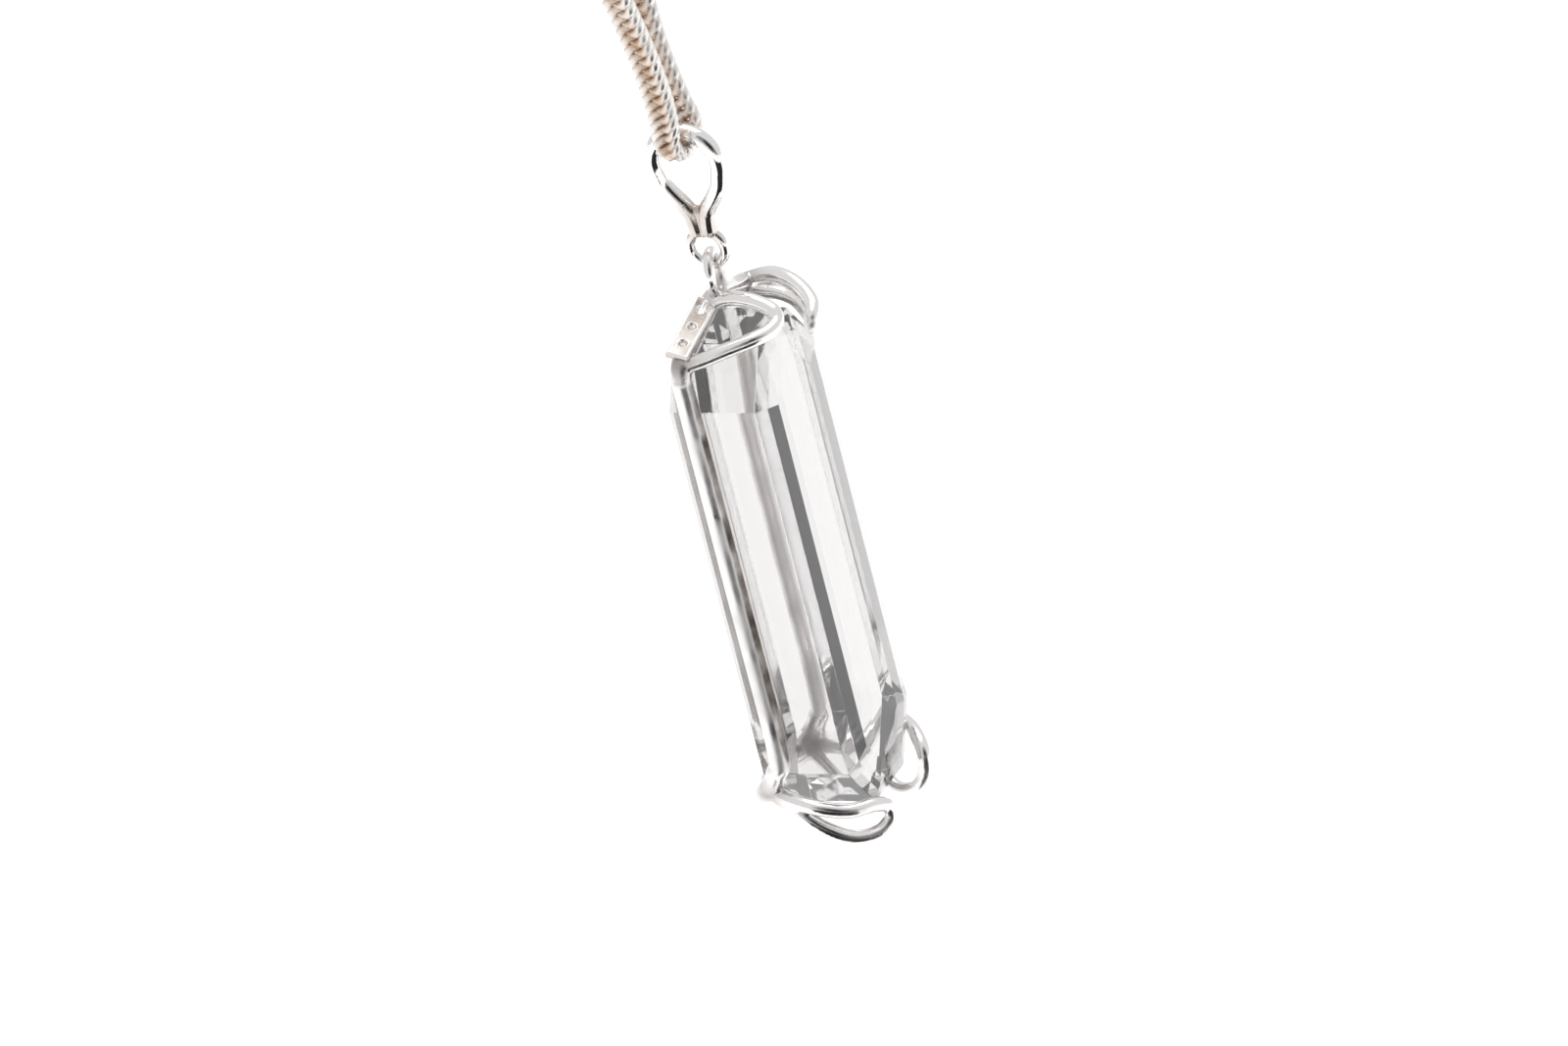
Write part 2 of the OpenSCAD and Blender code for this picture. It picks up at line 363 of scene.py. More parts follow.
def silver(name, colour, tarnish, attribute, dullness, marks, scale=1.0, brushed=None):
    """Polished metal fed by the shared effect, with its own mask from the mesh. A second mask
    can tell where the metal is brushed, and so duller by its share of the brush's dullness."""
    material, tree, shader = new_material(name)
    shader.inputs["Metallic"].default_value = 1.0
    work = add(tree, "ShaderNodeGroup",
               {"Silver": (*colour, 1), "Tarnish": (*tarnish, 1), "Dullness": dullness,
                "Marks": marks, "Scale": scale}, node_tree=silver_group())
    where = add(tree, "ShaderNodeAttribute", attribute_name=attribute)
    relief = add(tree, "ShaderNodeBump", {"Strength": 0.35, "Distance": 0.06 * MM})
    link = tree.links.new
    link(where.outputs["Fac"], work.inputs["Mask"])
    if brushed:
        brush = add(tree, "ShaderNodeAttribute", attribute_name=brushed)
        more = add(tree, "ShaderNodeMath", {1: BRUSH_DULL, 2: dullness}, operation="MULTIPLY_ADD")
        link(brush.outputs["Fac"], more.inputs[0])
        link(more.outputs[0], work.inputs["Dullness"])
    link(work.outputs["Color"], shader.inputs["Base Color"])
    link(work.outputs["Roughness"], shader.inputs["Roughness"])
    link(work.outputs["Height"], relief.inputs["Height"])
    link(relief.outputs["Normal"], shader.inputs["Normal"])
    return material


def crystal(colour, painted_facet_dark):
    """Clear quartz with a faint veil inside: most light goes through and bends, a part of it
    is scattered, and the polish is worn along the edges. The long facets beside the table are
    dull, and the mask 'step' turns their colour near black: a painted dark reflection. The
    roughness goes from 0.004 to 0.16 with a noise times the larger of the masks 'edge' and 'step'."""
    material, tree, shader = new_material("Rock crystal")
    shader.inputs["Transmission Weight"].default_value = 0.93
    shader.inputs["IOR"].default_value = 1.544
    tint = add(tree, "ShaderNodeMix", {"A": (*colour, 1), "B": (*painted_facet_dark, 1)}, data_type="RGBA")
    step = add(tree, "ShaderNodeAttribute", attribute_name="step")
    edge = add(tree, "ShaderNodeAttribute", attribute_name="edge")
    place = add(tree, "ShaderNodeTexCoord")
    wear = add(tree, "ShaderNodeTexNoise", {"Scale": 1400, "Detail": 5})
    dull = add(tree, "ShaderNodeMath", operation="MAXIMUM")
    amount = add(tree, "ShaderNodeMath", operation="MULTIPLY")
    rub = add(tree, "ShaderNodeMapRange", {"To Min": 0.004, "To Max": 0.16})
    relief = add(tree, "ShaderNodeBump", {"Strength": 0.02, "Distance": 0.03 * MM})
    link = tree.links.new
    # Near black where the mask 'step' is 1: a painted dark reflection
    link(step.outputs["Fac"], tint.inputs["Factor"])
    link(tint.outputs["Result"], shader.inputs["Base Color"])
    link(place.outputs["Object"], wear.inputs["Vector"])
    link(edge.outputs["Fac"], dull.inputs[0])
    link(step.outputs["Fac"], dull.inputs[1])
    link(wear.outputs["Fac"], amount.inputs[0])
    link(dull.outputs[0], amount.inputs[1])
    link(amount.outputs[0], rub.inputs["Value"])
    link(rub.outputs[0], shader.inputs["Roughness"])
    link(wear.outputs["Fac"], relief.inputs["Height"])
    link(relief.outputs["Normal"], shader.inputs["Normal"])
    return material


# Sizes and colours that a user would change

def length(name, words, value, low, high):
    """Length property in millimetres."""
    return bpy.props.FloatProperty(name=name, description=words + ", in millimetres", default=value,
                                   min=low, max=high, unit="NONE", precision=2)


def colour(name, words, value):
    """Colour property."""
    return bpy.props.FloatVectorProperty(name=name, description=words, default=value, size=3,
                                         min=0, max=1, subtype="COLOR")


def angle(name, words, degrees):
    """Half angle property, given in degrees."""
    return bpy.props.FloatProperty(name=name, description=words, default=math.radians(degrees),
                                   min=0, max=1.5, subtype="ANGLE", unit="ROTATION")


def strength(name, words, value):
    """Property for the strength of a light."""
    return bpy.props.FloatProperty(name=name, description=words, default=value, min=0, max=5)


class StoneSizes(bpy.types.PropertyGroup):
    """Sizes and colour of the stone."""
    width: length("Width", "Width from side wall to side wall", 7.2, 6, 8)
    height: length("Length", "Length from end wall to end wall", 24.6, 18, 26)
    wall: length("Wall depth", "Depth of the side walls", 4.4, 3, 5)
    crown: length("Crown height", "Height of the stepped faces", 0.36, 0.2, 0.5)
    table_in: length("Table inset", "How far the table lies in from the walls", 1.75, 0.8, 2)
    corner_x: length("Corner cut across", "Corner cut along the width", 1.9, 1, 2.4)
    corner_z: length("Corner cut along", "Corner cut along the length", 2.6, 1.6, 3)
    bevel: length("Edge", "Width of the rounded facet edges", 0.03, 0.01, 0.1)
    tint: colour("Tint", "Colour of the crystal", (0.81, 0.795, 0.79))
    # The near-black colour of the front's long facets is a painted dark reflection
    painted_facet_dark: colour("Painted dark facets", "Colour of the dull long facets", (0.012, 0.012, 0.013))


class WireSizes(bpy.types.PropertyGroup):
    """Sizes and colours of the soldered frame and the bail."""
    hoop: length("Hoop wire", "Diameter of the hoop's wire", 1.0, 0.8, 1.1)
    prong: length("Prong wire", "Diameter of the prongs' wire", 0.74, 0.6, 0.8)
    drop: length("Drop ring wire", "Diameter of the drop ring's wire", 0.54, 0.4, 0.56)
    bail: length("Bail wire", "Diameter of the bail's wire", 0.85, 0.75, 0.9)
    foot: length("Foot ring wire", "Diameter of the small ring's wire", 0.5, 0.4, 0.5)
    silver: colour("Silver", "Colour of the polished silver", (0.94, 0.92, 0.912))
    # This colour also paints the dark reflection along the left rail
    tarnish: colour("Tarnish", "Colour of the tarnish at the joints", (0.16, 0.125, 0.105))
    solder: colour("Solder", "Colour of the solder in the bail's crotch", (0.44, 0.34, 0.26))


class ChainSizes(bpy.types.PropertyGroup):
    """Sizes and colours of the chain and the clasp."""
    width: length("Link width", "Width across a link", 1.62, 1.1, 1.7)
    pitch: length("Pitch", "Length that each link adds to the chain", 0.6, 0.5, 0.9)
    link_wire: length("Link wire", "Diameter of the links' wire", 0.52, 0.25, 0.6)
    clasp: length("Clasp tube", "Diameter of the clasp's tube", 1.1, 0.9, 1.2)
    silver: colour("Silver", "Colour of the links", (0.84, 0.812, 0.786))
    tarnish: colour("Tarnish", "Colour deep between the links", (0.66, 0.47, 0.33))


class StudioSettings(bpy.types.PropertyGroup):
    """Light and floor round the pendant."""
    floor: colour("Floor", "Colour of the pale floor", (0.93, 0.93, 0.93))
    dome: strength("Dome", "Strength of the white light from all sides", 0.92)
    glow: strength("Glow", "Light that the white floor gives by itself", 0.38)
    dark: angle("Grey zone", "Half angle of the grey zone round the lens", 34)
    core: angle("Black core", "Half angle of the black core in it", 15)
    lamp: bpy.props.FloatProperty(name="Lamp", description="Power of the soft lamp above",
                                  default=4.4, min=0, max=100, unit="POWER")


# The stone

def outline(s, inset, depth):
    """Eight corners of the stone's outline, drawn in by a distance: the corner cuts are lines
    corner_z x + corner_x z = c, moved square to themselves, and meet the moved walls."""
    w, e = s.width / 2, s.height / 2
    cut = math.hypot(s.corner_x, s.corner_z)
    c = s.corner_z * w + s.corner_x * (e - s.corner_z) - inset * cut
    ax, az = w - inset, (c - s.corner_z * (w - inset)) / s.corner_x
    bx, bz = (c - s.corner_x * (e - inset)) / s.corner_z, e - inset
    ring = [[ax, -az], [ax, az], [bx, bz], [-bx, bz], [-ax, az], [-ax, -az], [-bx, -bz], [bx, -bz]]
    return np.array([[x, depth, z] for x, z in ring])


# Where the edge between the two rows of facets lies: its share of the table's inset, and of the crown
STEP_IN, STEP_OUT = 0.45, 0.7
# How dull the front's two long facets beside the table are, and how much painted dark reflection they
# take
DULL_AND_PAINTED_LEFT, DULL_AND_PAINTED_RIGHT = 1.0, 0.6


def long_bevels(mesh, s):
    """How dull each face is, and how much of the painted dark reflection its colour takes: 0 but
    for the front's two long facets beside the table. Their normals lie in the XY plane, as steep
    as the second step of the levels."""
    normals = np.zeros(len(mesh.polygons) * 3)
    mesh.polygons.foreach_get("normal", normals)
    x, y, z = normals.reshape(-1, 3).T
    slope = math.atan2((1 - STEP_OUT) * s.crown, (1 - STEP_IN) * s.table_in)
    steep = np.abs(np.arctan2(np.abs(x), -y) - slope) < 0.03
    upright = np.abs(z) < 0.05
    return (steep & upright) * np.where(x < 0, DULL_AND_PAINTED_LEFT, DULL_AND_PAINTED_RIGHT)


def make_stone(s):
    """Step-cut stone: six outlines from back to front joined by facets, with a flat table on
    the front and the back, and every edge rounded a little."""
    half, top = s.wall / 2, s.crown
    inner, step = s.table_in * STEP_IN, half + top * STEP_OUT
    levels = [(s.table_in, half + top), (inner, step), (0, half),
              (0, -half), (inner, -step), (s.table_in, -half - top)]
    rings = [outline(s, inset, depth) for inset, depth in levels]
    middle = (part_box("stone")[0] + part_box("stone")[1]) / 2
    points = np.vstack(rings) + [middle.x / MM, middle.y / MM, STONE_Z]
    corners = len(rings[0])
    faces = grid_faces(len(levels), corners).tolist()
    faces += [list(range(corners))[::-1], list(range(len(points) - corners, len(points)))]
    rough = mesh_of("stone_form", points, faces)
    rough.polygons.foreach_set("use_smooth", np.zeros(len(rough.polygons), bool))
    form = placed("stone_form", rough)
    bevel = form.modifiers.new("edge", "BEVEL")
    bevel.width = s.bevel * MM
    bevel.segments = 2
    bevel.limit_method = "NONE"
    mesh = finished(form, "rock_crystal")
    # A face narrower than three bevels is a part of a rounded edge
    mask(mesh, "edge", face_widths(mesh) < 3 * s.bevel * MM, "FACE")
    # The mask 'step' makes the front's long facets dull and gives them a painted dark reflection
    mask(mesh, "step", long_bevels(mesh, s), "FACE")
    piece("rock_crystal", mesh, "drop", crystal(s.tint, s.painted_facet_dark), "stone")


# The frame

# Where the right rail's middle line stands, and the radius of its wire
RAIL_X, RAIL_Y, RAIL_R = 4.16, 0.72, 0.5
# The hoop's right half from its foot to its top, and each prong with the side its rings start on
HOOP_HALF = [
    [0, 3.2, -12.5], [1.6, 3.15, -12.4], [3.1, 2.7, -12.0], [4.0, 1.8, -11.3],
    [RAIL_X, 1.1, -10.3], [RAIL_X, RAIL_Y, -8.8], [RAIL_X, RAIL_Y, 0], [RAIL_X, RAIL_Y, 9.4],
    [RAIL_X - 0.05, RAIL_Y, 10.7], [RAIL_X - 0.5, RAIL_Y, 11.45], [2.2, RAIL_Y - 0.1, 12.0],
    [0.7, RAIL_Y - 0.3, 12.65], [0, RAIL_Y - 0.35, 12.75]]
PRONGS = {
    "top_left": ([0, 0, 1], [
        [-3.9, 0.7, 11.3], [-3.6, -0.3, 11.5], [-3.2, -1.3, 11.75], [-2.6, -2.4, 11.95],
        [-1.8, -3.05, 12.0], [-1.1, -3.2, 12.2], [-0.8, -2.9, 12.6], [-0.7, -1.9, 13.0],
        [-0.6, -0.7, 13.05], [-0.6, 0.5, 12.7]]),
    "top_right": ([0, 0, 1], [
        [3.8, 0.7, 11.55], [4.05, -0.5, 11.75], [3.7, -1.6, 11.7], [3.1, -2.6, 11.4],
        [2.4, -3.25, 11.05], [1.8, -3.35, 10.6], [2.0, -3.15, 10.1], [2.65, -2.85, 10.2],
        [3.2, -2.05, 10.8], [3.45, -1.0, 11.1], [3.5, 0.4, 11.15]]),
    "foot_left": ([1, 0, 0], [
        [-4.0, 1.7, -11.3], [-4.3, 0.5, -11.7], [-4.3, -0.7, -12.1], [-3.7, -1.9, -12.6],
        [-2.7, -2.7, -12.85], [-2.1, -3.05, -13.3], [-2.2, -3.05, -13.95], [-2.8, -2.6, -14.3],
        [-3.6, -1.7, -14.1], [-4.1, -0.6, -13.3], [-4.2, 0.5, -12.3], [-3.9, 1.7, -11.5]]),
    "foot_right": ([1, 0, 0], [
        [3.95, 1.65, -11.35], [4.3, 0.4, -11.6], [4.05, -0.95, -11.95], [3.3, -2.2, -12.15],
        [2.45, -2.95, -12.35], [2.0, -3.3, -12.9], [1.9, -3.2, -13.8], [1.8, -2.6, -14.6],
        [2.0, -1.5, -14.8], [2.8, -0.3, -14.2], [3.6, 0.8, -13.0], [3.8, 1.8, -11.6]]),
}
# The drop ring: its middle's height, half its height and width, and its turn about the vertical
DROP_Z, DROP_R, DROP_W, DROP_TURN = 14.05, 1.1, 0.84, 12.0
# The plate's place is the middle of its top; its turns are about X, Y and Z
PLATE = {"length": 3.7, "width": 1.1, "thick": 0.36, "at": [-2.35, 0.5, 12.6], "turns": (20, -17, -6)}
# The punch marks: their middles along the plate, their depth, and the radii of floor and rim
MARKS_X, MARK_DEPTH, MARK_FLOOR, MARK_RIM = (-1.05, 0, 1.05), 0.12, 0.12, 0.25
# Side of the left rail with the painted dark reflection: its shares of the way inwards and to the front
DARK_IN, DARK_FRONT = -0.17, 0.985


def painted_rail_dark(points):
    """Painted dark reflection along the left rail's straight part, on the side that looks to
    the front and 10 degrees outwards. It comes in as the cosine between that side and a
    point's direction from the rail's middle goes from 0.84 to 0.93."""
    x, y, z = points.T
    inward, front = (RAIL_X + x) / RAIL_R, (RAIL_Y - y) / RAIL_R
    near = smooth_step(DARK_IN * inward + DARK_FRONT * front, 0.84, 0.93)
    return (x < 0) * straight_part(z) * near


def straight_part(z):
    """1 along the straight rails, and 0 past their ends."""
    return smooth_step(z, -10.4, -9.6) * (1 - smooth_step(z, 10.4, 11.0))


def make_hoop(s):
    """Hoop, prongs and drop ring under one skin of solder. The drop ring is the oval
    x = w sin k, z = z0 - r cos k, turned about the vertical."""
    half = np.array(HOOP_HALF)
    back = half[-2:0:-1] * [-1, 1, 1]
    shells = [wire(curve(np.vstack([half, back]), 10, True), s.hoop / 2, 28, [0, 1, 0], True)]
    # Solder lies on the top bar, at its two ends, at both ends of each prong and under the drop ring
    joints = [[0, RAIL_Y - 0.35, 12.9], [-3.7, 0.7, 11.6], [3.7, 0.7, 11.5]]
    for side, points in PRONGS.values():
        path = curve(points, 8)
        shells.append(wire(path, s.prong / 2, 24, side))
        joints += [points[0], points[-1]]
    k = np.radians(np.arange(0, 360, 6))
    turn = math.radians(DROP_TURN)
    across = DROP_W * np.sin(k)
    ring = np.stack([across * math.cos(turn), across * math.sin(turn), DROP_Z - DROP_R * np.cos(k)], -1)
    shells.append(wire(ring, s.drop / 2, 20, [0, 1, 0], True))
    joints.append([0, 0.1, 13.2])
    # The mask 'joint' holds the tarnish at the solder joints and a painted dark reflection along the
    # left rail
    mesh = soldered("wire_frame", shells, grain=0.065, rounds=7, joints=joints, reach=0.75,
                    painted_dark=painted_rail_dark)
    # Brushed fully along the rails, and by 0.35 elsewhere
    height = points_of(mesh)[:, 2] / MM - HANG_Z
    mask(mesh, "brushed", 0.35 + 0.65 * straight_part(height))
    finish = silver("Frame silver", s.silver, s.tarnish, "joint", dullness=0.09, marks=1.0,
                    brushed="brushed")
    piece("wire_frame", mesh, "drop", finish, "frame")


def make_plate(s):
    """Stamped plate: a grid over its top that falls off at the edges as a quarter circle and
    dips in three round punch marks, with a skirt down to a flat underside."""
    long, wide, thick = PLATE["length"], PLATE["width"], PLATE["thick"]
    columns, rows = 124, 40
    u = np.linspace(-1, 1, columns)[:, None] * long / 2 * np.ones((1, rows))
    v = np.linspace(-1, 1, rows)[None, :] * wide / 2 * np.ones((columns, 1))
    edge = np.minimum(long / 2 - np.abs(u), wide / 2 - np.abs(v))
    soft = 0.12
    rise = thick - soft * (1 - np.sqrt(1 - (1 - np.clip(edge / soft, 0, 1)) ** 2))
    for middle in MARKS_X:
        rise = rise - MARK_DEPTH * (1 - smooth_step(np.hypot(u - middle, v), MARK_FLOOR, MARK_RIM))
    top = np.stack([u, v, rise], -1).reshape(-1, 3)
    index = np.arange(columns * rows).reshape(columns, rows)
    rim = np.concatenate([index[:-1, 0], index[-1, :-1], index[:0:-1, -1], index[0, :0:-1]])
    low = top[rim] * [1, 1, 0]
    count = len(rim)
    under = np.arange(count) + len(top)
    nearer = np.roll(np.arange(count), -1)
    a, b, c, d = index[:-1, :-1], index[1:, :-1], index[1:, 1:], index[:-1, 1:]
    faces = np.stack([a, b, c, d], -1).reshape(-1, 4).tolist()
    faces += np.stack([rim, under, under[nearer], rim[nearer]], -1).tolist()
    faces.append(under[::-1].tolist())
    points = np.vstack([top, low])
    about = [Matrix.Rotation(math.radians(a), 3, axis) for a, axis in zip(PLATE["turns"], "XYZ")]
    turn = np.array(about[2] @ about[1] @ about[0])
    points = (points - [0, 0, thick]) @ turn.T + PLATE["at"]
    mesh = mesh_of("stamped_plate", points, faces)
    # Dark where the top lies under its flat, from 0.04 mm and fully at 0.12: marks and rim
    depth = np.concatenate([smooth_step(thick - rise.ravel(), 0.04, 0.12), np.zeros(count)])
    mask(mesh, "joint", depth * 0.8)
    finish = silver("Plate silver", s.silver, s.solder, "joint", dullness=0.2, marks=0.9)
    piece("stamped_plate", mesh, "drop", finish)


# The bail

# Radius and middle height of the teardrop's round and of the small ring, and the web's radius
BAIL_R, BAIL_Z, FOOT_R, FOOT_Z, WEB_R = 1.65, 19.89, 0.87, 15.44, 0.3


def make_bail(s):
    """Teardrop of wire and the small ring at its foot, both in the YZ plane, under one skin
    with a web that fills the crotch between the legs. The teardrop's top is an arc of a circle,
    from 20 degrees under its middle on either side."""
    top = FOOT_Z + FOOT_R
    arc = np.radians(np.arange(-20, 86, 15))
    half = [[0, 0.3, top + 0.1], [0, 0.38, top + 0.8], [0, 0.6, top + 1.3],
            [0, 0.98, top + 1.8], [0, 1.37, top + 2.4]]
    half += [[0, BAIL_R * math.cos(a), BAIL_Z + BAIL_R * math.sin(a)] for a in arc]
    half = np.array(half)
    loop = curve(np.vstack([half, half[::-1] * [1, -1, 1]]), 8)
    k = np.radians(np.arange(0, 360, 8))
    ring = np.stack([np.zeros_like(k), FOOT_R * np.cos(k), FOOT_Z + FOOT_R * np.sin(k)], -1)
    web = np.array([[0, 0, top - 0.05], [0, 0, top + 0.6], [0, 0, top + 1.05]])
    shells = [wire(loop, s.bail / 2, 28, [1, 0, 0]), wire(ring, s.foot / 2, 22, [1, 0, 0], True),
              wire(web, WEB_R, 20, [1, 0, 0])]
    joints = [[0, 0, top + 0.1], [0, 0, top + 0.6], [0, 0, top + 1.1]]
    mesh = soldered("bail_loop", shells, grain=0.045, rounds=9, joints=joints, reach=0.8)
    finish = silver("Bail silver", s.silver, s.solder, "joint", dullness=0.07, marks=0.8)
    piece("bail_loop", mesh, "bail", finish, "bail")


# The chain and the clasp

# The legs' lean from the vertical, and the chain's length
LEG_A, CHAIN_L = math.radians(15.0), 450.0
# The bend's radius: half of the bail's wire, half of the chain's tube, and some slack
BEND_R = 0.85 / 2 + 1.4 / 2 + 0.15
LOOP_R = ((CHAIN_L - BEND_R * (math.pi - 2 * LEG_A - 2 / math.tan(LEG_A)))
          / (math.pi + 2 * LEG_A + 2 / math.tan(LEG_A)))
BEND_Z = -LOOP_R - (LOOP_R - BEND_R) / math.sin(LEG_A)
CLASP_R, TUBE_R, EYE_R, EYE_WIRE = 2.3, 0.55, 0.75, 0.5
# How far an eye is sunk into the clasp, and how far past the eye the first link's middle is
EYE_SUNK, FIRST_LINK = 0.05, 0.2
# The legs over the bail: their turn and lean, how far up these reach, and how soon the turn starts
LEG_TURN, LEG_LEAN, LEG_REACH, LEG_START = math.radians(30), 0.1, 15, 2
# The bend under the bail: its reach along the chain, the links' rise and how much narrower they are
BEND_REACH, BEND_RISE, BEND_NARROW = 3.0, 0.3, 0.16
LINK_TWIST = math.radians(24)


def chain_route():
    """Chain's route from one eye of the clasp to the other: an arc of the big round, a straight
    leg, the bend, and the same back. At a height l over the bend the legs are turned about the
    vertical by 30 (1 - e^(-l/2)) f degrees and lean back by 0.1 l f, with f = e^(-(l/15)^2)."""
    reach = CLASP_R + TUBE_R + 2 * EYE_R + EYE_WIRE / 2
    a = np.linspace(math.pi / 2 - (reach + FIRST_LINK) / LOOP_R, -LEG_A, 300)
    big = np.stack([LOOP_R * np.cos(a), LOOP_R * np.sin(a) - LOOP_R], -1)
    c = np.linspace(-LEG_A, -math.pi / 2, 60)
    bend = np.stack([BEND_R * np.cos(c), BEND_Z + BEND_R * np.sin(c)], -1)
    leg = big[-1] + (bend[0] - big[-1]) * np.linspace(0, 1, 500)[1:-1, None]
    half = np.vstack([big, leg, bend])
    x, z = np.vstack([half, half[-2::-1] * [-1, 1]]).T
    far = np.where(z > bend[0, 1], np.hypot(np.abs(x) - bend[0, 0], z - bend[0, 1]), 0)
    fade = np.exp(-(far / LEG_REACH) ** 2)
    turn = LEG_TURN * fade * (1 - np.exp(-far / LEG_START))
    return np.stack([x * np.cos(turn), x * np.sin(turn) + LEG_LEAN * far * fade, z], -1)


def make_chain(s):
    """Curb chain: each link is x = a cos k, y = b sin k cos w, z = b sin k sin w with the twist
    w = q cos k, so that its two ends are turned against each other and equal links hook
    together. The links stand at even steps along the route. Under the bail the route rises a
    little, as the flat links lie closer to it than a round tube, and the links are narrower by
    up to 16 in 100, which leaves the bail room to swing."""
    whole = chain_route()
    run = np.concatenate([[0], np.cumsum(np.linalg.norm(np.diff(whole, axis=0), axis=1))])
    count = int(round(run[-1] / s.pitch / 2)) * 2 + 1
    at = np.linspace(0, run[-1], count)
    centre = np.stack([np.interp(at, run, whole[:, i]) for i in range(3)], -1)
    bend = np.exp(-((at - run[-1] / 2) / BEND_REACH) ** 2)[:, None]
    centre[:, 2:] += BEND_RISE * bend
    t = along(centre)
    w = np.broadcast_to([0.0, 1.0, 0.0], t.shape)
    n = np.cross(t, w)
    sides, around = 6, 12
    k = 2 * np.pi * np.arange(around) / around
    a = (s.pitch + s.link_wire) / 2
    b = (s.width - s.link_wire) / 2
    twist = LINK_TWIST * np.cos(k)
    loop = np.stack([a * np.cos(k), b * np.sin(k) * np.cos(twist), b * np.sin(k) * np.sin(twist)], -1)
    # The rings start on a side that the link's own wire never runs along
    points, faces = wire(loop, s.link_wire / 2, sides, [0.12, 0.05, 1.0], True)
    faces = np.array(faces)
    turn = np.stack([t, w * (1 - BEND_NARROW * bend), n], 1)
    links = np.einsum("pi,cij->cpj", points, turn) + centre[:, None]
    everything = (faces[None] + (np.arange(count) * len(points))[:, None, None]).reshape(-1, 4)
    mesh = mesh_of("curb_chain", links.reshape(-1, 3), everything.tolist(), MM, 0.0)
    # Tarnish is full within 0.3 mm of the chain's middle line, and gone at 0.66 mm
    deep = 1 - smooth_step(np.linalg.norm(points[:, 1:], axis=1), 0.3, 0.66)
    mask(mesh, "deep", np.tile(deep, count))
    finish = silver("Chain silver", s.silver, s.tarnish, "deep", dullness=0.3, marks=0.7, scale=1.6)
    piece("curb_chain", mesh, "chain_loop", finish, "chain")


# Where the clasp's bolt starts and ends, and its two collars and its lever stand, in degrees
BOLT_START, BOLT_END, COLLARS, LEVER_AT = 239, 299, (236, 303), 232


def make_clasp(s):
    """Ring clasp: a tube round a circle whose radius dips over the sliding bolt and swells in
    two collars, with its thumb lever and an eye on either side."""
    k = np.radians(np.arange(0, 360, 3.0))
    ring = np.stack([CLASP_R * np.cos(k), np.zeros_like(k), CLASP_R * np.sin(k)], -1)
    turn = np.degrees(k)
    bolt = (smooth_step(turn, BOLT_START - 1, BOLT_START + 1)
            * (1 - smooth_step(turn, BOLT_END - 1, BOLT_END + 1)))
    collar = sum(np.exp(-((turn - middle) / 3) ** 2) for middle in COLLARS)
    radius = s.clasp / 2 * (1 - 0.16 * bolt) * (0.955 + 0.045 * np.clip(collar, 0, 1))
    shells = [wire(ring, radius, 28, [0, 1, 0], True)]
    lever = CLASP_R + s.clasp / 2 - 0.1
    a = math.radians(LEVER_AT)
    out = np.array([math.cos(a), 0, math.sin(a)])
    shells.append(wire([out * (lever - 0.2), out * (lever + 0.45)], 0.2, 14, [0, 1, 0]))
    k = np.radians(np.arange(0, 360, 10.0))
    for sign in (-1, 1):
        x = sign * (CLASP_R + TUBE_R + EYE_R - EYE_SUNK)
        eye = np.stack([x + EYE_R * np.cos(k), np.zeros_like(k), EYE_R * np.sin(k)], -1)
        shells.append(wire(eye, EYE_WIRE / 2, 16, [0, 1, 0], True))
    points, faces = together(shells)
    mesh = mesh_of("ring_clasp", points, faces, MM, 0.0)
    # Tarnish sits where the eyes are soldered to the tube
    mask(mesh, "joint", 0.7 * np.exp(-((np.abs(points[:, 0]) - CLASP_R - TUBE_R) / 0.2) ** 2))
    finish = silver("Clasp silver", s.silver, s.tarnish, "joint", dullness=0.08, marks=0.6)
    piece("ring_clasp", mesh, "chain_loop", finish, "clasp")


# The studio

# The camera's turn, rise and roll in degrees
VIEW_TURN, VIEW_RISE, VIEW_ROLL = 30.0, 27.0, 14.5
# Width of the picture, and how far its middle lies to the right of the hoop's middle and above it
VIEW_WIDTH, AIM_RIGHT, AIM_UP = 1600 / 22.0, 0.064, 0.636
# The black screen: its radius, and in degrees its turn, half width, lowest and highest rise
SCREEN_R, SCREEN_TURN, SCREEN_HALF, SCREEN_LOW, SCREEN_HIGH = 110.0, 210, 36, -54, -8


def view_axes():
    """Directions of the picture in the shared frame: right, up, and towards the camera."""
    turn, rise, roll = (math.radians(v) for v in (VIEW_TURN, VIEW_RISE, VIEW_ROLL))
    right = np.array([math.sin(turn), -math.cos(turn), 0])
    up = np.array([math.cos(turn) * math.sin(rise), math.sin(turn) * math.sin(rise), math.cos(rise)])
    back = np.cross(right, up)
    return (right * math.cos(roll) - up * math.sin(roll),
            right * math.sin(roll) + up * math.cos(roll), back)


def make_camera():
    """Long lens that looks down on the pendant from its left, rolled as the picture is."""
    right, up, back = view_axes()
    away, sensor = 900.0, 36.0
    aim = np.array([0, 0, HANG_Z]) + AIM_RIGHT * right + AIM_UP * up
    data = bpy.data.cameras.new("camera")
    data.sensor_width = sensor
    data.lens = sensor * away / VIEW_WIDTH
    data.clip_start = 0.01
    data.clip_end = 50.0
    camera = placed("camera", data)
    place = np.eye(4)
    place[:3, 0], place[:3, 1], place[:3, 2] = right, up, back
    place[:3, 3] = (aim + back * away) * MM
    camera.matrix_world = Matrix(place.tolist())
    bpy.context.scene.camera = camera


